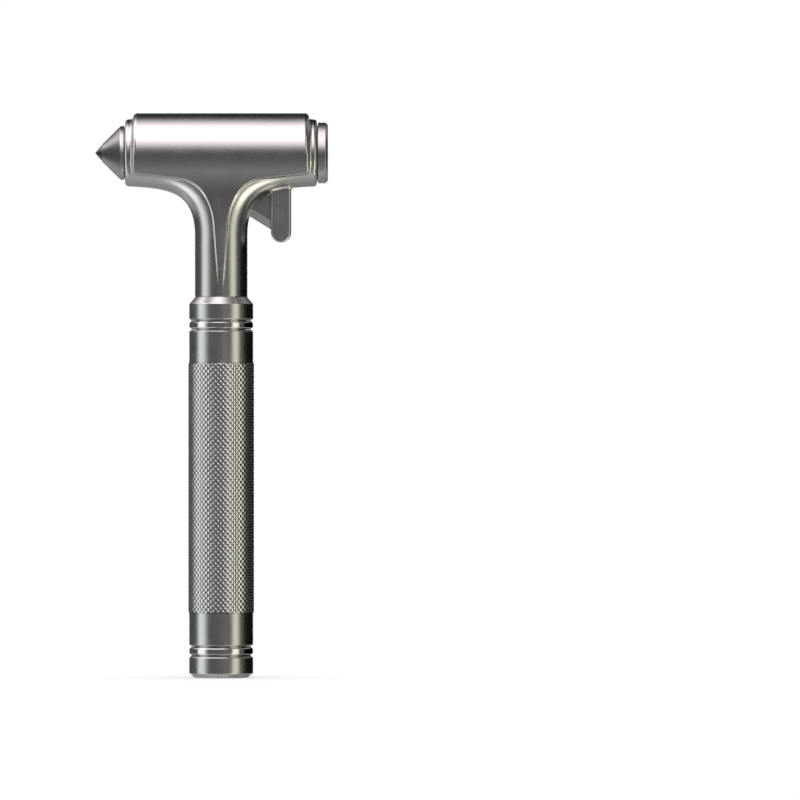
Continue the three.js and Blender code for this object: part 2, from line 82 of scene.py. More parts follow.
EDGE = 0.1  # softened edge of a turned part
GROOVE_DEPTH = 0.55
GROOVE_RISE = 0.56
GROOVE_EDGE = 0.06
SEAM = 0.12  # gap between a trim ring and its neighbour
FOOT_CHAMFER = 1.4
SPIGOT_R = 7.6
SPIGOT_CHAMFER = 0.6
BORE_R = 7.7
ORING_GROOVE_R = 6.2
ORING_GROOVE_WIDTH = 1.9
CAP_WELL_R = 5.0
CAP_WELL_LOW_Z = 3.2
CAP_PITCH = 1.25
CAP_THREAD_DEPTH = 0.62
STRIKER_PITCH = 1.5
STRIKER_THREAD_DEPTH = 0.6
THREAD_ROWS = 8  # mesh rows in one turn of a thread
STRIKER_SPIGOT_R = 5.0
STRIKER_R = 8.4
STRIKER_BACK_X = -30.1
STRIKER_FRONT_X = -31.35
STRIKER_TIP_X = -37.05
STRIKER_TIP_R = 2.7
TIP_R = 2.35
TIP_SHANK_R = 1.9
TIP_SHANK_LENGTH = 5.0
SCREW_HOLE_R = 3.3
NECK_SPIGOT_R = 5.0
SHOULDER_LOW_Z = 116.2
WEIGHT_R = 7.3
PLUG_BACK_X = 30.12
PLUG_EDGE = 0.7

KNURL_STARTS = 36
KNURL_STEPS = 6  # mesh steps in one diamond
KNURL_PITCH = 1.76
KNURL_LOW_Z = 20.4
KNURL_HIGH_Z = 97.6
KNURL_ROOT_R = KNURL_R - 0.115
KNURL_CREST_R = KNURL_R + 0.04
KNURL_CROWN = np.array([0.0, 0.52, 0.9, 1.0])  # height of a diamond at each mesh step from its nearest cut

STEM_R = 8.2
STEM_FOOT_Z = COLLAR_HIGH[2] + 0.03  # so close that no light shows through the joint
RIM_R = 10.5
RIM_EDGE = 0.35
BARREL_HALF = 27.4
BARREL_EDGE = 0.9
END_CHAMFER = 0.55
RIM_CHAMFER = 0.4
END_TILT = (0.76, 0.65)  # how steeply the barrel's end is broken, across it and along it
COVE = 0.95
LOW_EDGE, LOW_COVE = 0.35, 0.35  # the same two on the stem
ARM_EDGE, ARM_COVE = 0.45, 0.4  # and under the arms
HEAD_BORE_R = 7.5
HEAD_BORE_END_X = -13.5
STRIKER_BORE_END_X = -16.5
SEAL_DEPTH = 1.0  # counterbore at each end of the barrel
REAR_SEAT_R = 8.85
STRIKER_SEAT_R = 7.9
NECK_HOLE_R = 3.05
NECK_HOLE_TOP_Z = 133
NECK_SPIGOT_TOP_Z = 125
DOWEL_Y = 6.55
DOWEL_HOLE_R = 1.1
DOWEL_DEPTH = 2.9
POST_X = 18.63
POST_R = 3.14
POST_LOW_Z = 138.4
POST_TOP_Z = 155.0
POST_HALF_Y = 3.3
POST_EDGE = 0.8
POST_FILLET = 1.0
SLOT_HALF_Y = 0.65
SLOT_LEFT_X = 6.1
SLOT_TOP_Z = 150.4
SLOT_DROP = 0.24  # room under the blade's edge
EDGE_START = (9.08, 143.25)
EDGE_ANGLE = -0.555
BLADE_RIGHT_X = 20.0
BEVEL = 2.3

UNDERSIDE = np.array([(29.8, 152.62), (16.9, 152.08), (8.2, 151.34), (8.2, 137.32)])
PANEL_CORNER = np.array([(12.5, 154.85), (7.0, 154.15), (3.1, 149.0), (2.2, 141.5)])
PANEL_ARM = (27.6, 156.5)
PANEL_POINT = (0.65, 121.0)
PANEL_END_R = 1.1
PANEL_REACH_X = 45.0
CREASE_STEP = 0.2  # the raised middle stands this much further out of the stem
FLARE = np.array([(10.95, 157.2), (9.2, 153.9), (8.12, 150.5), (8.12, 141.0)])
FLARE_FOOT = (8.19, 120.0)
# Where one edge treatment of the casting changes into the next: height and distance that it takes
CREASE_TOP = (152, 10)
CREASE_FOOT = (PANEL_POINT[1] - 2, 8)
ARM_BLEND = (138, 12)
BARREL_BLEND = (157, 3)
CHAMFER_BLEND = (156, 9)

NET_STEP = 0.28  # NET_STEP = 0.28 # grid of the casting's skin
NET_TRIANGLES = 185000

# ---- Materials ------------------------------------------------------------------------------


class Graph:
    """Short calls that wire one node tree."""

    def __init__(self, tree):
        self.tree = tree
        tree.nodes.clear()

    def feed(self, socket, value):
        if isinstance(value, bpy.types.NodeSocket):
            self.tree.links.new(value, socket)
        else:
            socket.default_value = value

    def add(self, kind, inputs=None, **settings):
        node = self.tree.nodes.new(kind)
        for key, value in settings.items():
            setattr(node, key, value)
        for key, value in (inputs or {}).items():
            self.feed(node.inputs[key], value)
        return node

    def math(self, operation, *values):
        node = self.add("ShaderNodeMath", operation=operation)
        for socket, value in zip(node.inputs, values):
            self.feed(socket, value)
        return node.outputs[0]

    def hypot(self, a, b):
        squares = self.math("ADD", self.math("MULTIPLY", a, a), self.math("MULTIPLY", b, b))
        return self.math("POWER", squares, 0.5)

    def ramp(self, value, low, high, to_low=0.0, to_high=1.0, kind="SMOOTHSTEP"):
        inputs = {"Value": value, "From Min": low, "From Max": high, "To Min": to_low, "To Max": to_high}
        return self.add("ShaderNodeMapRange", inputs, interpolation_type=kind).outputs["Result"]

    def window(self, value, low, high, soft):
        """1 between low and high, with an edge that fades over soft to each side."""
        rise = self.ramp(value, low - soft, low + soft)
        return self.math("SUBTRACT", rise, self.ramp(value, high - soft, high + soft))

    def axes(self, vector):
        return self.add("ShaderNodeSeparateXYZ", {0: vector}).outputs

    def combine(self, x, y, z):
        return self.add("ShaderNodeCombineXYZ", {0: x, 1: y, 2: z}).outputs[0]

    def noise(self, vector, scale, detail=2.0, roughness=0.5):
        inputs = {"Vector": vector, "Scale": scale, "Detail": detail, "Roughness": roughness}
        return self.add("ShaderNodeTexNoise", inputs).outputs["Fac"]

    def mix(self, factor, a, b):
        node = self.add("ShaderNodeMix", data_type="RGBA")
        for key, value in ((0, factor), (6, a), (7, b)):
            self.feed(node.inputs[key], value)
        return node.outputs[2]


def place_mm(g):
    """The point's place on the piece in millimetres: it moves with the piece."""
    place = g.add("ShaderNodeTexCoord").outputs["Object"]
    return g.add("ShaderNodeVectorMath", {0: place, 1: (1 / MM,) * 3}, operation="MULTIPLY").outputs[0]


def around_handle(g, place):
    """Radius, height and angle about the handle's axis."""
    x, y, z = g.axes(place)
    return g.hypot(x, y), z, g.math("ARCTAN2", y, x)


def around_barrel(g, place):
    """Radius, length along X and angle about the barrel's axis."""
    x, y, z = g.axes(place)
    rise = g.math("SUBTRACT", z, HEAD_Z)
    return g.hypot(rise, y), x, g.math("ARCTAN2", rise, y)


def turning_lines(g, polar, across=7.0):
    """The fine lines that a lathe tool leaves round a piece, on its sides and on its end faces."""
    radius, along, angle = polar
    place = g.combine(g.math("MULTIPLY", radius, across), g.math("MULTIPLY", angle, 0.35),
                      g.math("MULTIPLY", along, across))
    return g.noise(place, 1.0, detail=3.0, roughness=0.65)


def lengthwise_lines(g, place, stretch):
    """Fine satin lines that run along one axis: stretch says how much each axis is squeezed."""
    scaled = g.add("ShaderNodeVectorMath", {0: place, 1: stretch}, operation="MULTIPLY").outputs[0]
    return g.noise(scaled, 1.0, detail=3.0, roughness=0.6)


def metal(name, light, dark, roughness, spread, lines, line_height, grain_height, extra=None):
    """A bare metal: mottled tone, uneven gloss, tool lines and a fine grain."""
    material = bpy.data.materials.new(name)
    material.use_nodes = True
    g = Graph(material.node_tree)
    place = place_mm(g)
    mottle = g.noise(place, 0.22, detail=4.0, roughness=0.6)
    fine = g.noise(place, 6.0, detail=2.0)
    marks = lines(g, place)
    tone = g.math("ADD", g.math("MULTIPLY", mottle, 0.55), g.math("MULTIPLY", marks, 0.45))
    colour = g.mix(g.ramp(tone, 0.3, 0.7), (*dark, 1), (*light, 1))
    uneven = g.math("ADD", g.math("MULTIPLY", mottle, 0.6), g.math("MULTIPLY", fine, 0.4))
    gloss = g.ramp(uneven, 0.25, 0.75, roughness - spread, roughness + spread)
    if extra:
        colour, gloss = extra(g, place, colour, gloss)
    bump = g.add("ShaderNodeBump", {"Strength": 1.0, "Distance": line_height * MM, "Height": marks})
    inputs = {"Strength": 1.0, "Distance": grain_height * MM, "Height": fine, "Normal": bump.outputs[0]}
    grain = g.add("ShaderNodeBump", inputs)
    shader = g.add("ShaderNodeBsdfPrincipled", {
        "Base Color": colour, "Metallic": 1.0, "Roughness": gloss, "Normal": grain.outputs[0]})
    output = g.add("ShaderNodeOutputMaterial")
    g.feed(output.inputs["Surface"], shader.outputs[0])
    return material


def rubber(name):
    material = bpy.data.materials.new(name)
    material.use_nodes = True
    g = Graph(material.node_tree)
    place = place_mm(g)
    cloud = g.noise(place, 0.9, detail=5.0)
    pores = g.noise(place, 14.0, detail=3.0, roughness=0.7)
    bump = g.add("ShaderNodeBump", {"Strength": 0.8, "Distance": 0.012 * MM, "Height": pores})
    shader = g.add("ShaderNodeBsdfPrincipled", {
        "Base Color": g.mix(cloud, (0.012, 0.012, 0.013, 1), (0.028, 0.027, 0.027, 1)),
        "Roughness": g.ramp(pores, 0.3, 0.7, 0.48, 0.66), "Normal": bump.outputs[0]})
    output = g.add("ShaderNodeOutputMaterial")
    g.feed(output.inputs["Surface"], shader.outputs[0])
    return material


def turned_on_handle(g, place):
    return turning_lines(g, around_handle(g, place))


def turned_on_barrel(g, place):
    return turning_lines(g, around_barrel(g, place))


def cast_lines(g, place):
    return lengthwise_lines(g, place, (0.9, 7.0, 7.0))


def blade_lines(g, place):
    return lengthwise_lines(g, place, (0.5, 3.0, 9.0))


def knurl_cuts_painted_shade(g, place, colour, gloss):
    """Painted shade in the cuts: darker and duller down in the cuts, lighter and smoother on the crests."""
    radius = around_handle(g, place)[0]
    crest = g.ramp(radius, KNURL_ROOT_R, KNURL_CREST_R - 0.03)
    # painted shade: the colour goes to a dark grey in the cuts and stays the knurl's own colour on the crests
    crest_colour = g.mix(crest, (0.34, 0.337, 0.327, 1), colour)
    return crest_colour, g.math("SUBTRACT", gloss, g.math("MULTIPLY", crest, 0.06))


def ground_bevel_and_highlight(g, place, colour, gloss):
    """The blade's edge bevel is lighter: bare steel from grinding, and painted lighter still as a highlight,
    with its own coarse grinding lines across it.
    """
    x, y, z = g.axes(place)
    slope = math.tan(EDGE_ANGLE)
    line = g.math("ADD", g.math("MULTIPLY", x, slope), EDGE_START[1] - slope * EDGE_START[0])
    up = g.math("MULTIPLY", g.math("SUBTRACT", z, line), math.cos(EDGE_ANGLE))
    bevel = g.math("SUBTRACT", 1.0, g.ramp(up, BEVEL - 0.04, BEVEL + 0.04))
    along_x = g.math("MULTIPLY", x, math.cos(EDGE_ANGLE))
    along = g.math("ADD", along_x, g.math("MULTIPLY", z, math.sin(EDGE_ANGLE)))
    stroke_place = g.combine(g.math("MULTIPLY", along, 6.0), g.math("MULTIPLY", up, 0.4), 0.0)
    strokes = g.noise(stroke_place, 1.0, detail=3.0)
    # painted highlight: the bevel's colour is lighter than grinding alone gives, standing in for light
    # falling on it
    ground = g.mix(strokes, (0.78, 0.78, 0.78, 1), (0.9, 0.9, 0.9, 1))
    gloss = g.math("ADD", gloss, g.math("MULTIPLY", bevel, 0.2))
    return g.mix(bevel, colour, ground), gloss


HEAD_METAL = metal("satin_cast_metal", (0.585, 0.575, 0.56), (0.545, 0.535, 0.52), 0.26, 0.03,
                   cast_lines, 0.0022, 0.0012)
HANDLE_METAL = metal("satin_turned_steel", (0.585, 0.58, 0.56), (0.545, 0.54, 0.52), 0.26, 0.03,
                     turned_on_handle, 0.0022, 0.0010)
# Painted sheen: the knurled steel is much lighter than the same steel on the plain parts of the tube,
# standing in for light that its diamonds catch. Its cuts get painted shade.
KNURL_METAL_PAINTED_SHEEN = metal("knurled_steel_painted_sheen", (0.87, 0.865, 0.835), (0.79, 0.785, 0.76), 0.24, 0.04,
                      turned_on_handle, 0.0015, 0.0015, knurl_cuts_painted_shade)
BRIGHT_METAL = metal("polished_steel", (0.78, 0.775, 0.76), (0.73, 0.725, 0.71), 0.1, 0.02,
                     turned_on_handle, 0.0004, 0.0002)
STRIKER_METAL = metal("hard_turned_steel", (0.56, 0.555, 0.545), (0.47, 0.465, 0.455), 0.3, 0.04,
                      turned_on_barrel, 0.0035, 0.0010)
CARBIDE_METAL = metal("ground_carbide", (0.3, 0.3, 0.305), (0.22, 0.22, 0.225), 0.32, 0.05,
                      turned_on_barrel, 0.0025, 0.0012)
BLADE_METAL = metal("blade_steel", (0.44, 0.44, 0.44), (0.36, 0.36, 0.36), 0.34, 0.04,
                    blade_lines, 0.0018, 0.0010, ground_bevel_and_highlight)
PLAIN_METAL = metal("plain_steel", (0.56, 0.56, 0.565), (0.44, 0.44, 0.45), 0.4, 0.06,
                    turned_on_handle, 0.0020, 0.0015)
SEAL = rubber("seal_rubber")

# ---- Mesh helpers ---------------------------------------------------------------------------


def add_mesh(name, points, faces, materials, smooth=None, slots=None):
    """A mesh object from points in millimetres."""
    mesh = bpy.data.meshes.new(name)
    mesh.from_pydata((np.asarray(points) * MM).tolist(), [], [tuple(face) for face in faces])
    mesh.shade_smooth()
    if smooth is not None:
        mesh.polygons.foreach_set("use_smooth", smooth)
    for material in materials:
        mesh.materials.append(material)
    if slots is not None:
        mesh.polygons.foreach_set("material_index", slots)
    piece = bpy.data.objects.new(name, mesh)
    bpy.context.scene.collection.objects.link(piece)
    return piece


def arc_between(first, last, share):
    """The vector that share of the way round from first to last, both the same length."""
    turned = -first.angle_signed(last) * share
    cos, sin = math.cos(turned), math.sin(turned)
    return Vector((first.x * cos - first.y * sin, first.x * sin + first.y * cos))


def rounded(corners, steps=3):
    """A profile of (radius, height) corners. A third number rounds that corner with an arc of that radius."""
    path = []
    for i, corner in enumerate(corners):
        here = Vector(corner[:2])
        if len(corner) < 3:
            path.append(tuple(here))
            continue
        back = Vector(corners[i - 1][:2]) - here
        ahead = Vector(corners[(i + 1) % len(corners)][:2]) - here
        half = back.angle(ahead) / 2
        reach = min(corner[2] / math.tan(half), 0.45 * back.length, 0.45 * ahead.length)
        size = reach * math.tan(half)
        centre = here + (back.normalized() + ahead.normalized()).normalized() * size / math.sin(half)
        first = here + back.normalized() * reach - centre
        last = here + ahead.normalized() * reach - centre
        path += [tuple(centre + arc_between(first, last, step / steps)) for step in range(steps + 1)]
    return path


def on_handle(radius, height, angle):
    return np.stack([radius * np.cos(angle), radius * np.sin(angle), height], -1)


def on_barrel(radius, along, angle):
    return np.stack([along, radius * np.cos(angle), HEAD_Z + radius * np.sin(angle)], -1)


def finish_normals(piece, sharp_degrees=38):
    """Flat faces shade flat and rounded edges shade round."""
    piece.data.set_sharp_from_angle(angle=math.radians(sharp_degrees))
    weighted = piece.modifiers.new("weighted_normals", "WEIGHTED_NORMAL")
    weighted.keep_sharp = True
    weighted.weight = 70


def lathe(name, profile, place, material, sides=128, relief=None):
    """Turns a closed profile, or one that starts and ends on the axis.

    relief changes the radius by height and angle.
    """
    profile = np.array(profile)
    nxt = np.roll(profile, -1, 0)
    if np.sum(profile[:, 0] * nxt[:, 1] - nxt[:, 0] * profile[:, 1]) < 0:
        profile = profile[::-1]
    open_ends = profile[0][0] == 0 and profile[-1][0] == 0
    angles = np.linspace(0, 2 * math.pi, sides, endpoint=False)
    points, rows = [], []
    for radius, height in profile:
        if radius == 0:
            rows.append([len(points)] * sides)
            points.append(place(0.0, height, 0.0))
            continue
        ring = np.full(sides, radius)
        if relief is not None:
            ring = relief(ring, height, angles)
        rows.append(list(range(len(points), len(points) + sides)))
        points += list(place(ring, np.full(sides, height), angles))
    faces = []
    count = len(rows)
    for i in range(count - 1 if open_ends else count):
        low, high = rows[i], rows[(i + 1) % count]
        for k in range(sides):
            m = (k + 1) % sides
            face = [low[k], low[m], high[m], high[k]]
            faces.append([v for n, v in enumerate(face) if v != face[n - 1]])
    piece = add_mesh(name, points, faces, [material])
    finish_normals(piece)
    return piece


def settle(piece, body, slot, *nodes):
    """Puts a finished piece on its body, in place of its CAD nodes. slot is not used."""
    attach(piece, body)
    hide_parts(*nodes)
    return piece


def thread_rows(low, high, pitch):
    """Heights fine enough to carry a thread."""
    return np.linspace(low, high, int(round((high - low) / pitch * THREAD_ROWS)) + 1)


def thread(low, high, pitch, depth, hand=1):
    """Relief of a V thread between two heights, running out at both ends."""

    def relief(ring, height, angles):
        inside = min(height - low, high - height)
        if inside <= 0:
            return ring
        turn = (height / pitch - hand * angles / (2 * math.pi)) % 1
        cut = 1 - np.abs(2 * turn - 1)
        return ring - depth * min(1.0, inside / (0.6 * pitch)) * np.clip(cut * 1.15 - 0.12, 0, 1)

    return relief


# ---- Handle ---------------------------------------------------------------------------------


def build_tail_cap():
    top = CAP_HIGH[2]
    seam = LOW_RING_LOW[2] - SEAM
    groove_mid = (ORING_LOW[2] + ORING_HIGH[2]) / 2
    groove_low = groove_mid - ORING_GROOVE_WIDTH / 2
    groove_high = groove_mid + ORING_GROOVE_WIDTH / 2
    start, end = groove_high + 0.25, top - 0.55
    profile = rounded([
        (0, 0), (HANDLE_R - FOOT_CHAMFER, 0, 0.25), (HANDLE_R, FOOT_CHAMFER, 0.25),
        (HANDLE_R, seam - GROOVE_RISE, EDGE), (HANDLE_R - GROOVE_DEPTH, seam, GROOVE_EDGE),
        (SPIGOT_R, seam), (SPIGOT_R, groove_low, 0.08), (ORING_GROOVE_R, groove_low, 0.1),
        (ORING_GROOVE_R, groove_high, 0.1), (SPIGOT_R, groove_high, 0.08)])
    profile += [(SPIGOT_R, z) for z in thread_rows(start, end, CAP_PITCH)]
    profile += rounded([(SPIGOT_R, end), (SPIGOT_R - SPIGOT_CHAMFER, top, 0.08), (CAP_WELL_R, top, 0.15),
                        (CAP_WELL_R, CAP_WELL_LOW_Z, 0.5), (0, CAP_WELL_LOW_Z)])[1:]
    relief = thread(start, end, CAP_PITCH, CAP_THREAD_DEPTH)
    piece = lathe("tail_cap_turned", profile, on_handle, HANDLE_METAL, 144, relief)
    settle(piece, "tail_cap_body", "handle_metal", "tail_cap")


def build_trim_ring(name, low, high, body, node):
    inner = SPIGOT_R + 0.1
    profile = rounded([
        (inner, low), (HANDLE_R - GROOVE_DEPTH, low, 0.05), (HANDLE_R, low + GROOVE_RISE, EDGE),
        (HANDLE_R, high - GROOVE_RISE, EDGE), (HANDLE_R - GROOVE_DEPTH, high, 0.05), (inner, high)], 4)
    settle(lathe(name, profile, on_handle, BRIGHT_METAL, 160), body, "bright_ring", node)


def build_collar():
    low, top = HIGH_RING_HIGH[2] + SEAM, COLLAR_HIGH[2]
    bottom = COLLAR_LOW[2]
    oring_low, oring_high = box_mm("collar_o_ring")
    groove_mid = (oring_low[2] + oring_high[2]) / 2
    groove_low = groove_mid - ORING_GROOVE_WIDTH / 2
    groove_high = groove_mid + ORING_GROOVE_WIDTH / 2
    well = NECK_SPIGOT_R + 0.15
    well_low = SPIGOT_LOW_Z - 0.3
    profile = rounded([
        (SCREW_HOLE_R, bottom), (SPIGOT_R - SPIGOT_CHAMFER, bottom, 0.05),
        (SPIGOT_R, bottom + SPIGOT_CHAMFER, 0.05), (SPIGOT_R, groove_low, 0.08),
        (ORING_GROOVE_R, groove_low, 0.1), (ORING_GROOVE_R, groove_high, 0.1),
        (SPIGOT_R, groove_high, 0.08), (SPIGOT_R, low), (HANDLE_R - GROOVE_DEPTH, low, GROOVE_EDGE),
        (HANDLE_R, low + GROOVE_RISE, EDGE), (HANDLE_R, SHOULDER_LOW_Z, 0.35), (STEM_R, top, 0.03),
        (well, top, 0.1), (well, well_low), (SCREW_HOLE_R, well_low)])
    piece = lathe("collar_turned", profile, on_handle, HANDLE_METAL, 144)
    settle(piece, "hammer_body", "handle_metal", "upper_collar")


def build_oring(name, node, body):
    low, high = box_mm(node)
    section = (high[2] - low[2]) / 2
    middle = high[0] - section
    centre = (low[2] + high[2]) / 2
    turns = np.linspace(0, 2 * math.pi, 20, endpoint=False)
    profile = [(middle + section * math.cos(a), centre + section * math.sin(a)) for a in turns]
    settle(lathe(name, profile, on_handle, SEAL, 120), body, "seal_rubber", node)


def knurl_height(i, j):
    """Height of the diamonds, 0 at a cut and 1 at a crest, at mesh column i and row j."""
    def from_cut(steps):
        return np.minimum(steps % KNURL_STEPS, -steps % KNURL_STEPS)
    return KNURL_CROWN[np.minimum(from_cut(i + j), from_cut(i - j))]


def build_grip_tube():
    """The tube with real diamond knurling: two crossed sets of V cuts, their mesh edges along every cut."""
    columns = KNURL_STARTS * KNURL_STEPS
    angles = np.linspace(0, 2 * math.pi, columns, endpoint=False)
    low, high = TUBE_LOW[2], TUBE_HIGH[2]
    row_count = int(round((KNURL_HIGH_Z - KNURL_LOW_Z) / KNURL_PITCH * KNURL_STEPS))
    groove_r = HANDLE_R - GROOVE_DEPTH
    below = rounded([(BORE_R, low), (groove_r, low, GROOVE_EDGE), (HANDLE_R, low + GROOVE_RISE, EDGE),
                     (HANDLE_R, KNURL_LOW_Z - 0.35)])[1:]
    above = rounded([(HANDLE_R, KNURL_HIGH_Z + 0.35), (HANDLE_R, high - GROOVE_RISE, EDGE),
                     (groove_r, high, GROOVE_EDGE), (BORE_R, high)])[:-1]
    bore = rounded([(groove_r, high), (BORE_R, high, 0.2), (BORE_R, low, 0.2), (groove_r, low)])[1:-1]
    rings = [(np.full(columns, r), z, False) for r, z in below]
    column = np.arange(columns)
    for j in range(row_count + 1):
        z = KNURL_LOW_Z + (KNURL_HIGH_Z - KNURL_LOW_Z) * j / row_count
        radius = KNURL_ROOT_R + (KNURL_CREST_R - KNURL_ROOT_R) * knurl_height(column, j)
        rings.append((radius, z, True))
    rings += [(np.full(columns, r), z, False) for r, z in above + bore]
    points = np.concatenate([on_handle(r, np.full(columns, z), angles) for r, z, cut in rings])
    faces, smooth, slots = [], [], []
    for n in range(len(rings)):
        up = (n + 1) % len(rings)
        cut = rings[n][2] and rings[up][2]
        shown = rings[n][2] or rings[up][2]
        j = n - len(below)
        for i in range(columns):
            k = (i + 1) % columns
            a, b = n * columns + i, n * columns + k
            c, d = up * columns + k, up * columns + i
            if cut:
                faces += [(a, b, c), (a, c, d)] if (i - j) % 2 == 0 else [(a, b, d), (b, c, d)]
            else:
                faces.append((a, b, c, d))
            added = 2 if cut else 1
            smooth += [True] * added
            slots += [1 if shown else 0] * added
    piece = add_mesh("grip_tube_knurled", points, faces, [HANDLE_METAL, KNURL_METAL_PAINTED_SHEEN], smooth, slots)
    finish_normals(piece)
    settle(piece, "hammer_body", "knurled_metal", "grip_tube")


# ---- Ends of the barrel ---------------------------------------------------------------------


def build_striker():
    spigot_end = CONE_HIGH[0]
    start, end = STRIKER_BACK_X + 1.6, spigot_end - 0.5
    socket = STRIKER_TIP_X + TIP_SHANK_LENGTH + 0.4
    profile = [(0, spigot_end), (STRIKER_SPIGOT_R - 0.6, spigot_end)]
    profile += [(STRIKER_SPIGOT_R, x) for x in thread_rows(start, end, STRIKER_PITCH)[::-1]]
    profile += rounded([
        (STRIKER_SPIGOT_R, start), (STRIKER_SPIGOT_R - 0.45, STRIKER_BACK_X + 1.2, 0.1),
        (STRIKER_SPIGOT_R - 0.45, STRIKER_BACK_X, 0.2), (STRIKER_R, STRIKER_BACK_X, EDGE),
        (STRIKER_R, STRIKER_FRONT_X, 0.18), (STRIKER_TIP_R, STRIKER_TIP_X, 0.1),
        (TIP_SHANK_R + 0.1, STRIKER_TIP_X), (TIP_SHANK_R + 0.1, socket), (0, socket)], 4)[1:]
    cone = lathe("striker_cone_turned", profile, on_barrel, STRIKER_METAL, 160,
                 thread(start, end, STRIKER_PITCH, STRIKER_THREAD_DEPTH, -1))
    settle(cone, "striker", "striker_steel", "striker_cone")

    shoulder = STRIKER_TIP_X - 0.1
    profile = rounded([
        (0, TIP_LOW[0]), (0.15, TIP_LOW[0]), (TIP_R, shoulder - 0.1, 0.04), (TIP_R, shoulder, 0.04),
        (TIP_SHANK_R, shoulder), (TIP_SHANK_R, TIP_HIGH[0], 0.2), (0, TIP_HIGH[0])])
    point = lathe("carbide_point", profile, on_barrel, CARBIDE_METAL, 96)
    settle(point, "striker", "carbide", "carbide_tip")

    inner = STRIKER_SPIGOT_R + 0.2
    outer = WASHER_HIGH[1]
    low, high = WASHER_LOW[0], WASHER_HIGH[0]
    profile = rounded([(inner, low, 0.12), (outer, low, 0.15), (outer, high, 0.15), (inner, high, 0.12)])
    piece = lathe("striker_washer_turned", profile, on_barrel, PLAIN_METAL, 96)
    settle(piece, "striker_washer_body", "plain_steel", "striker_washer")
    return cone, point


def build_rear_plug():
    face = PLUG_HIGH[0]
    outer = PLUG_HIGH[1]
    back = PLUG_LOW[0]
    profile = rounded([
        (0, back), (WEIGHT_R - 0.5, back, 0.1), (WEIGHT_R, back + 0.5, 0.1), (WEIGHT_R, PLUG_BACK_X),
        (outer, PLUG_BACK_X, EDGE), (outer, face - PLUG_EDGE, 0.25), (outer - PLUG_EDGE, face, 0.3),
        (outer * 0.62, face), (outer * 0.3, face), (0, face)], 4)
    piece = lathe("rear_plug_turned", profile, on_barrel, STRIKER_METAL, 160)
    settle(piece, "hammer_body", "striker_steel", "rear_plug")


# ---- Head casting: a distance field, meshed -------------------------------------------------


def join(a, b, fillet):
    """Union with a fillet."""
    deep = np.maximum(fillet, np.minimum(a, b))
    return deep - np.hypot(np.maximum(fillet - a, 0), np.maximum(fillet - b, 0))


def common(a, b, edge):
    """Intersection with a rounded edge."""
    return -join(-a, -b, edge)


def rod_x(x, radial, radius, half, edge):
    """A rod along the barrel's axis with rounded rims, from the distance to that axis."""
    out, end = radial - radius + edge, np.abs(x) - half + edge
    return np.minimum(np.maximum(out, end), 0) + np.hypot(np.maximum(out, 0), np.maximum(end, 0)) - edge


def cubic(points, t):
    s = 1 - t
    weights = (s * s * s, 3 * s * s * t, 3 * s * t * t, t * t * t)
    return [sum(w * p[axis] for w, p in zip(weights, points)) for axis in (0, 1)]


def cubic_slope(points, t):
    steps = 3 * np.diff(points, axis=0)
    s = 1 - t
    weights = (s * s, 2 * s * t, t * t)
    return [sum(w * p[axis] for w, p in zip(weights, steps)) for axis in (0, 1)]


def arm_distance(x, z):
    """How far inside the arm's underside a point of the middle plane is, and the arm's radius there."""
    samples = np.linspace(0, 1, 41)
    sample_x, sample_z = cubic(UNDERSIDE, samples)
    best = np.full(np.broadcast(x, z).shape, np.inf)
    t = np.zeros(best.shape)
    for k, sample in enumerate(samples):
        gap = (x - sample_x[k]) ** 2 + (z - sample_z[k]) ** 2
        t = np.where(gap < best, sample, t)
        best = np.minimum(gap, best)
    bend = 3 * np.diff(UNDERSIDE, axis=0)
    for _ in range(4):
        cx, cz = cubic(UNDERSIDE, t)
        tx, tz = cubic_slope(UNDERSIDE, t)
        ax, az = [2 * ((1 - t) * (bend[1] - bend[0])[n] + t * (bend[2] - bend[1])[n]) for n in (0, 1)]
        slope = tx * tx + tz * tz + (cx - x) * ax + (cz - z) * az
        step = ((cx - x) * tx + (cz - z) * tz) / np.where(np.abs(slope) < 1, 1, slope)
        t = np.clip(t - np.clip(step, -0.05, 0.05), 0, 1)
    cx, cz = cubic(UNDERSIDE, t)
    tx, tz = cubic_slope(UNDERSIDE, t)
    size = np.hypot(tx, tz)
    inside = ((x - cx) * tz - (z - cz) * tx) / size
    rim = RIM_R - 0.02
    return inside, rim + (STEM_R - rim) * t * t * (3 - 2 * t)


corner_x, corner_z = cubic(PANEL_CORNER, np.linspace(0, 1, 25))
arm_slope = (PANEL_ARM[1] - corner_z[0]) / (PANEL_ARM[0] - corner_x[0])
PANEL_X = np.array([-1, PANEL_POINT[0], *corner_x[::-1], PANEL_REACH_X])
reach_z = corner_z[0] + arm_slope * (PANEL_REACH_X - corner_x[0])
PANEL_Z = np.array([PANEL_POINT[1], PANEL_POINT[1], *corner_z[::-1], reach_z])


def panel_distance(x, z):
    """Distance to the raised panel's lower line in the middle plane, negative on the panel."""
    best = np.full(np.broadcast(x, z).shape, np.inf)
    for k in range(len(PANEL_X) - 1):
        ax, az = PANEL_X[k], PANEL_Z[k]
        dx, dz = PANEL_X[k + 1] - ax, PANEL_Z[k + 1] - az
        share = np.clip(((x - ax) * dx + (z - az) * dz) / (dx * dx + dz * dz), 0, 1)
        best = np.minimum(best, (x - ax - share * dx) ** 2 + (z - az - share * dz) ** 2)
    over = z > np.interp(x, PANEL_X, PANEL_Z)
    return np.where(over, -1, 1) * np.sqrt(best)


def fade(share):
    share = np.clip(share, 0, 1)
    return share * share * (3 - 2 * share)


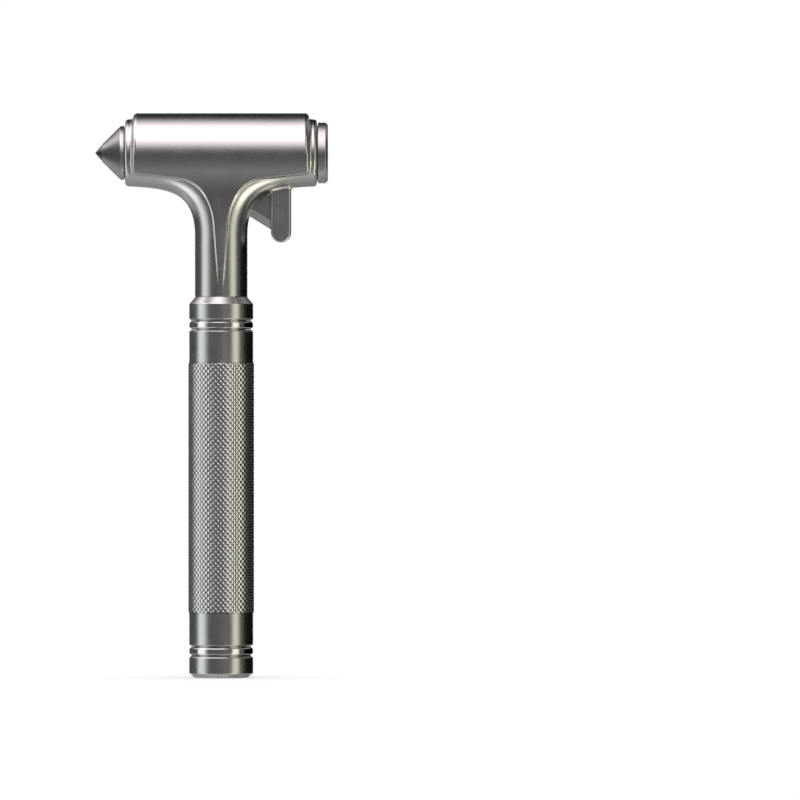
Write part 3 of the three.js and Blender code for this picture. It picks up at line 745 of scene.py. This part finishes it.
def web_half(z):
    """Half thickness of the raised middle below the barrel, and how it changes with height."""
    samples = np.linspace(0, 1, 33)
    sample_z = cubic(FLARE, samples)[1]
    t = np.interp(-z, -sample_z, samples)
    for _ in range(2):
        t = np.clip(t - (cubic(FLARE, t)[1] - z) / cubic_slope(FLARE, t)[1], 0, 1)
    half = cubic(FLARE, t)[0]
    slope = cubic_slope(FLARE, t)
    foot_slope = (FLARE_FOOT[0] - FLARE[3][0]) / (FLARE_FOOT[1] - FLARE[3][1])
    below = z < FLARE[3][1]
    half = np.where(below, FLARE[3][0] + foot_slope * (z - FLARE[3][1]), half)
    raised = fade((CREASE_TOP[0] - z) / CREASE_TOP[1]) * fade((z - CREASE_FOOT[0]) / CREASE_FOOT[1])
    half = half + CREASE_STEP * raised
    return half, np.where(below, foot_slope, np.where(z > FLARE[0][1], 0, slope[0] / slope[1]))


def casting_distance(x, y, z):
    """Signed distance in millimetres to the head casting's skin."""
    side = np.abs(x)
    rise = z - HEAD_Z
    radial = np.hypot(y, rise)
    inside, radius = arm_distance(side, z)
    arm_skin = np.hypot(inside - radius, y) - radius
    arms = np.maximum(common(arm_skin, side - RIM_HALF, RIM_EDGE), STEM_FOOT_Z - z)
    thin = np.minimum(arms, rod_x(x, radial, RIM_R, RIM_HALF, RIM_EDGE))
    skin = np.minimum(arm_skin, radial - RIM_R)
    broken = END_TILT[0] * skin + END_TILT[1] * (side - RIM_HALF) + RIM_CHAMFER
    thin = common(thin, broken, 0.2)

    half, slope = web_half(z)
    web = np.maximum((np.abs(y) - half) / np.sqrt(1 + slope * slope), rise)
    panel = common(panel_distance(side, z), side - BARREL_HALF, PANEL_END_R)
    low = fade((z - ARM_BLEND[0]) / ARM_BLEND[1])
    end = fade((z - BARREL_BLEND[0]) / BARREL_BLEND[1])
    edge = LOW_EDGE + (ARM_EDGE - LOW_EDGE) * low + (BARREL_EDGE - ARM_EDGE) * end
    cove = LOW_COVE + (ARM_COVE - LOW_COVE) * low + (COVE - ARM_COVE) * end
    skin = np.minimum(radial - BARREL_R, web)
    broken = END_TILT[0] * skin + END_TILT[1] * (side - BARREL_HALF) + END_CHAMFER
    broken = broken - 1.3 * (1 - fade((z - CHAMFER_BLEND[0]) / CHAMFER_BLEND[1]))
    raised = common(common(skin, panel, edge), broken, 0.3)
    body = join(thin, raised, cove)

    capsule = np.hypot(x - POST_X, np.minimum(z - POST_LOW_Z, 0)) - POST_R + POST_EDGE
    thick = np.abs(y) - POST_HALF_Y + POST_EDGE
    post = np.minimum(np.maximum(capsule, thick), 0) + np.hypot(np.maximum(capsule, 0), np.maximum(thick, 0))
    post = np.maximum(post - POST_EDGE, z - POST_TOP_Z)
    body = join(body, post, POST_FILLET)

    neck = np.hypot(x, y)
    spigot = np.maximum(np.maximum(neck - NECK_SPIGOT_R, SPIGOT_LOW_Z - z), z - NECK_SPIGOT_TOP_Z)
    body = np.minimum(body, spigot)
    edge_line = EDGE_START[1] + math.tan(EDGE_ANGLE) * (x - EDGE_START[0]) - SLOT_DROP
    low_line = EDGE_START[1] + math.tan(EDGE_ANGLE) * (BLADE_RIGHT_X - EDGE_START[0]) - SLOT_DROP
    slot = np.maximum((edge_line - z) * math.cos(EDGE_ANGLE), low_line - z)
    slot = np.maximum(np.maximum(slot, SLOT_LEFT_X - x), z - SLOT_TOP_Z)
    cuts = [
        (np.maximum(radial - HEAD_BORE_R, HEAD_BORE_END_X - x), 0.15),
        (np.maximum(radial - REAR_SEAT_R, RIM_HALF - SEAL_DEPTH - x), EDGE),
        (np.maximum(radial - STRIKER_SPIGOT_R - 0.1, x - STRIKER_BORE_END_X), EDGE),
        (np.maximum(radial - STRIKER_SEAT_R, x + RIM_HALF - SEAL_DEPTH), EDGE),
        (np.maximum(neck - NECK_HOLE_R, z - NECK_HOLE_TOP_Z), EDGE),
        (np.maximum(np.hypot(x, y - DOWEL_Y) - DOWEL_HOLE_R, z - STEM_FOOT_Z - DOWEL_DEPTH), 0.05),
        (np.maximum(slot, np.abs(y) - SLOT_HALF_Y), 0.12),
    ]
    for low_corner, high_corner in ((PIN_LOW, PIN_HIGH), (LOW_PIN_LOW, LOW_PIN_HIGH)):
        centre = (low_corner + high_corner) / 2
        hole = np.hypot(x - centre[0], z - centre[2]) - (high_corner[0] - low_corner[0]) / 2 - 0.05
        cuts.append((np.maximum(hole, low_corner[1] - 0.05 - y), 0.08))
    for hollow, edge in cuts:
        body = common(body, -hollow, edge)
    return body


def surface_net(distance, low, high, step):
    """A quad mesh of the zero level of a distance function, one point in each grid cell that it crosses."""
    axes = [np.arange(a - 1.3 * step, b + 1.4 * step, step) for a, b in zip(low, high)]
    grid = axes[0][:, None, None], axes[1][None, :, None], axes[2][None, None, :]
    values = distance(*grid).astype(np.float32)
    inside = values < 0
    shape = [n - 1 for n in values.shape]
    full = np.zeros(shape, np.int8)
    corners = [(a, b, c) for a in (0, 1) for b in (0, 1) for c in (0, 1)]
    for a, b, c in corners:
        full += inside[a:a + shape[0], b:b + shape[1], c:c + shape[2]]
    cells = np.argwhere((full > 0) & (full < 8))
    index = np.full(shape, -1, np.int32)
    index[tuple(cells.T)] = np.arange(len(cells))
    total, count = np.zeros((len(cells), 3)), np.zeros(len(cells))
    for corner in corners:
        for axis in range(3):
            if corner[axis]:
                continue
            first = cells + corner
            last = first.copy()
            last[:, axis] += 1
            a, b = values[tuple(first.T)], values[tuple(last.T)]
            crossed = (a < 0) != (b < 0)
            spot = first[crossed].astype(float)
            spot[:, axis] += a[crossed] / (a[crossed] - b[crossed])
            total[crossed] += spot
            count[crossed] += 1
    points = np.array([axis[0] for axis in axes]) + step * total / count[:, None]
    quads = []
    for axis in range(3):
        u, v = (axis + 1) % 3, (axis + 2) % 3
        here = [slice(None)] * 3
        here[axis] = slice(0, -1)
        ahead = [slice(None)] * 3
        ahead[axis] = slice(1, None)
        first, last = inside[tuple(here)], inside[tuple(ahead)]
        for leaving in (True, False):
            edges = np.argwhere((first != last) & (first == leaving))
            ring = []
            for du, dv in ((-1, -1), (0, -1), (0, 0), (-1, 0)):
                cell = edges.copy()
                cell[:, u] += du
                cell[:, v] += dv
                ring.append(index[tuple(cell.T)])
            quads.append(np.stack(ring if leaving else ring[::-1], 1))
    return points, np.concatenate(quads)


def gradient(distance, points, reach=0.02):
    """Unit gradient of a distance function, from four samples."""
    total = np.zeros_like(points)
    for way in ((1, -1, -1), (-1, -1, 1), (-1, 1, -1), (1, 1, 1)):
        way = np.array(way)
        total += way * distance(*(points + reach * way).T)[:, None]
    return total / np.linalg.norm(total, axis=1)[:, None]


def mesh_arrays(mesh):
    points = np.zeros(len(mesh.vertices) * 3)
    mesh.vertices.foreach_get("co", points)
    mesh.calc_loop_triangles()
    triangles = np.zeros(len(mesh.loop_triangles) * 3, np.int32)
    mesh.loop_triangles.foreach_get("vertices", triangles)
    return points.reshape(-1, 3), triangles.reshape(-1, 3)


def build_casting():
    """The casting's skin: a surface net, thinned where it is flat, then moved back onto the surface."""
    step = NET_STEP
    points, quads = surface_net(casting_distance, CAST_LOW, CAST_HIGH, step)
    rough = add_mesh("casting_rough", points, quads, [])
    if 2 * len(quads) > NET_TRIANGLES:
        thin = rough.modifiers.new("thin", "DECIMATE")
        thin.ratio = NET_TRIANGLES / (2 * len(quads))
    bpy.context.view_layer.update()
    finished = rough.evaluated_get(bpy.context.evaluated_depsgraph_get()).to_mesh()
    points, triangles = mesh_arrays(finished)
    points /= MM
    bpy.data.objects.remove(rough)
    for _ in range(2):
        way = gradient(casting_distance, points)
        reach = np.clip(casting_distance(*points.T), -0.1, 0.1)
        points -= way * reach[:, None]
    points = np.clip(points, CAST_LOW, CAST_HIGH)
    piece = add_mesh("head_casting_skin", points, triangles, [HEAD_METAL])
    piece.data.normals_split_custom_set_from_vertices(gradient(casting_distance, points).tolist())
    settle(piece, "hammer_body", "head_metal", "head_casting")


# ---- Carried-over CAD nodes -----------------------------------------------------------------


def dress(node, material):
    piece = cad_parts[node]
    piece.data.materials.clear()
    piece.data.materials.append(material)


build_tail_cap()
build_trim_ring("lower_ring_turned", LOW_RING_LOW[2], LOW_RING_HIGH[2], "tail_ring", "lower_trim_ring")
build_trim_ring("upper_ring_turned", HIGH_RING_LOW[2], HIGH_RING_HIGH[2], "hammer_body", "upper_trim_ring")
build_collar()
build_oring("tail_seal_ring", "tail_o_ring", "tail_cap_body")
build_oring("collar_seal_ring", "collar_o_ring", "hammer_body")
build_grip_tube()
striker_pieces = build_striker()
build_rear_plug()
build_casting()
dress("cutter_blade", BLADE_METAL)
for part in ("blade_pin_upper", "blade_pin_lower", "neck_screw", "neck_washer", "neck_spring_washer",
             "stem_dowel", "impact_weight"):
    dress(part, PLAIN_METAL)
for part in ("rear_seal", "weight_pad"):
    dress(part, SEAL)

# ---- Stage ----------------------------------------------------------------------------------

FLOOR_HALF = 3.0
BACKDROP = 1.02  # brightness of the floor and of what is behind the object
# Lights by azimuth and elevation in degrees: from, to, and how soft the ends are. 0 is the front.
RIGHT_AZIMUTH, RIGHT_ELEVATION = (42, 67, 7), (-78, 45, 10)
REAR_ELEVATION = (-20, 13, 3)
LOW_REAR_ELEVATION = (-78, -16, 7)
HIGH_REAR_ELEVATION = (16, 62, 9)
LEFT_ELEVATION = (-72, 55, 10)


def build_floor():
    corners = [(-1, -1), (1, -1), (1, 1), (-1, 1)]
    size = FLOOR_HALF / MM
    floor = add_mesh("studio_floor", [(a * size, b * size, 0) for a, b in corners], [(0, 1, 2, 3)], [])
    material = bpy.data.materials.new("pale_floor")
    material.use_nodes = True
    g = Graph(material.node_tree)
    shade = g.add("ShaderNodeAmbientOcclusion", {"Distance": 0.05}, samples=16).outputs["AO"]
    brightness = g.ramp(shade, 0.0, 1.0, 0.45, BACKDROP, "LINEAR")
    seen = g.add("ShaderNodeEmission", {"Color": (1, 1, 1, 1), "Strength": brightness})
    output = g.add("ShaderNodeOutputMaterial")
    g.feed(output.inputs["Surface"], seen.outputs[0])
    floor.data.materials.append(material)
    floor.visible_glossy = floor.visible_diffuse = False


def directions(g, x, y, z):
    """Azimuth and elevation in degrees: 0 is the front, negative is left."""
    azimuth = g.math("DEGREES", g.math("ARCTAN2", x, g.math("MULTIPLY", y, -1.0)))
    return azimuth, g.math("DEGREES", g.math("ARCTAN2", z, g.hypot(x, y)))


def build_left_softbox(*flagged):
    """A tall softbox to the left, bright in its middle. The striker's cone is flagged off from it."""
    away, low, high = 2000.0, -9000.0, 4000.0
    edge = [(away * math.sin(math.radians(a)), -away * math.cos(math.radians(a))) for a in (-104, -36)]
    points = [(*edge[0], low), (*edge[1], low), (*edge[1], high), (*edge[0], high)]
    panel = add_mesh("left_softbox", points, [(0, 1, 2, 3)], [])
    material = bpy.data.materials.new("softbox_cloth")
    material.use_nodes = True
    g = Graph(material.node_tree)
    azimuth, elevation = directions(g, *g.axes(g.add("ShaderNodeTexCoord").outputs["Object"]))
    across = g.math("SUBTRACT", g.ramp(azimuth, -97, -85), g.ramp(azimuth, -71, -44))
    mask = g.math("MULTIPLY", across, g.window(elevation, *LEFT_ELEVATION))
    strength = g.math("MULTIPLY", mask, g.ramp(elevation, -18, -40, 1.2, 1.75))
    glow = g.add("ShaderNodeEmission", {"Color": (0.91, 0.985, 0.965, 1), "Strength": strength})
    clear = g.add("ShaderNodeBsdfTransparent")
    both = g.add("ShaderNodeAddShader", {0: glow.outputs[0], 1: clear.outputs[0]})
    output = g.add("ShaderNodeOutputMaterial")
    g.feed(output.inputs["Surface"], both.outputs[0])
    panel.data.materials.append(material)
    panel.visible_camera = panel.visible_shadow = False
    shaded = bpy.data.collections.new("flagged_from_left_softbox")
    for number, piece in enumerate(flagged):
        shaded.objects.link(piece)
        shaded.collection_objects[number].light_linking.link_state = "EXCLUDE"
    panel.light_linking.receiver_collection = shaded


def build_world():
    """A studio seen only in reflections: a strip to the right, a wide light overhead, dark walls.

    Two weak fills behind, low and high, keep the back from going black.
    """
    world = bpy.data.worlds.new("studio")
    bpy.context.scene.world = world
    world.use_nodes = True
    g = Graph(world.node_tree)
    x, y, z = g.axes(g.add("ShaderNodeTexCoord").outputs["Generated"])
    azimuth, elevation = directions(g, x, y, z)
    tilt = g.math("DEGREES", g.math("ARCTAN2", z, g.math("MULTIPLY", y, -1.0)))
    tilt = g.math("ADD", tilt, g.math("MULTIPLY", x, 45.0))
    warm, plain, rosy = (1.0, 0.99, 0.8), (1.0, 1.0, 1.0), (1.0, 0.92, 0.975)
    right = g.math("MULTIPLY", g.window(azimuth, *RIGHT_AZIMUTH), g.window(elevation, *RIGHT_ELEVATION))
    right = g.math("MULTIPLY", right, g.ramp(elevation, -14, -34, 1.0, 2.9))
    around = g.math("ABSOLUTE", azimuth)
    behind = g.math("MULTIPLY", g.ramp(around, 160, 166), g.window(elevation, *REAR_ELEVATION))
    over = g.math("SUBTRACT", g.ramp(tilt, 4, 38), g.ramp(tilt, 70, 122))
    over = g.math("MULTIPLY", over, g.ramp(x, -0.1, 0.55, 1.0, 0.0))
    leftward = g.math("MINIMUM", x, 0.0)
    lifted = g.math("ADD", z, g.math("MULTIPLY", leftward, 0.4))
    over = g.math("MULTIPLY", over, g.ramp(lifted, -0.1, 0.2))
    over = g.math("MULTIPLY", over, g.ramp(leftward, -0.95, -0.4, 0.42, 1.0))
    wall = g.math("MULTIPLY", g.ramp(azimuth, 86, 96, 1.0, 0.0), g.ramp(elevation, 8, 40, 1.0, 0.15))
    wall = g.math("MULTIPLY", wall, g.ramp(around, 30, 100, 1.12, 0.86))
    low = g.math("ADD", g.ramp(elevation, -8, -60, 0.0, 0.17), g.ramp(elevation, -60, -88, 0.0, 0.28))
    low = g.math("MULTIPLY", low, g.ramp(x, 0.3, 0.9, 1.0, 0.45))
    back = g.math("MULTIPLY", g.ramp(around, 92, 118), g.window(elevation, *LOW_REAR_ELEVATION))
    sideways = g.ramp(g.math("ABSOLUTE", x), 0.35, 0.62)
    back = g.math("MULTIPLY", back, g.ramp(sideways, 0, 1, 0.45, 1.0))
    corners = g.math("MULTIPLY", sideways, g.window(elevation, *HIGH_REAR_ELEVATION))
    corners = g.math("MULTIPLY", corners, g.ramp(around, 95, 112))
    lights = [(right, warm, 1.06), (behind, plain, 1.2), (over, rosy, 2.4),
              (wall, plain, 0.11), (low, plain, 1.0), (back, plain, 0.36), (corners, plain, 0.4)]
    total = None
    for mask, colour, strength in lights:
        tinted = g.add("ShaderNodeVectorMath", {0: tuple(c * strength for c in colour), "Scale": mask},
                       operation="SCALE").outputs[0]
        total = tinted if total is None else g.add(
            "ShaderNodeVectorMath", {0: total, 1: tinted}, operation="ADD").outputs[0]
    studio = g.add("ShaderNodeBackground", {"Color": total, "Strength": 1.0})
    backdrop = g.add("ShaderNodeBackground", {"Color": (1, 1, 1, 1), "Strength": BACKDROP})
    camera = g.add("ShaderNodeLightPath").outputs["Is Camera Ray"]
    chosen = g.add("ShaderNodeMixShader", {0: camera, 1: studio.outputs[0], 2: backdrop.outputs[0]})
    output = g.add("ShaderNodeOutputWorld")
    g.feed(output.inputs["Surface"], chosen.outputs[0])


def build_camera():
    camera = bpy.data.cameras.new("camera")
    camera.sensor_width = 36.0
    camera.lens = 434.1
    camera.clip_end = 50
    eye = bpy.data.objects.new("camera", camera)
    eye.location = (0.0556, -3.0, 0.0863)
    eye.rotation_euler = (math.pi / 2, 0, 0)
    bpy.context.scene.collection.objects.link(eye)
    bpy.context.scene.camera = eye


build_floor()
build_left_softbox(*striker_pieces)
build_world()
build_camera()
bpy.context.scene.view_settings.view_transform = "Standard"
bpy.context.scene.view_settings.look = "None"
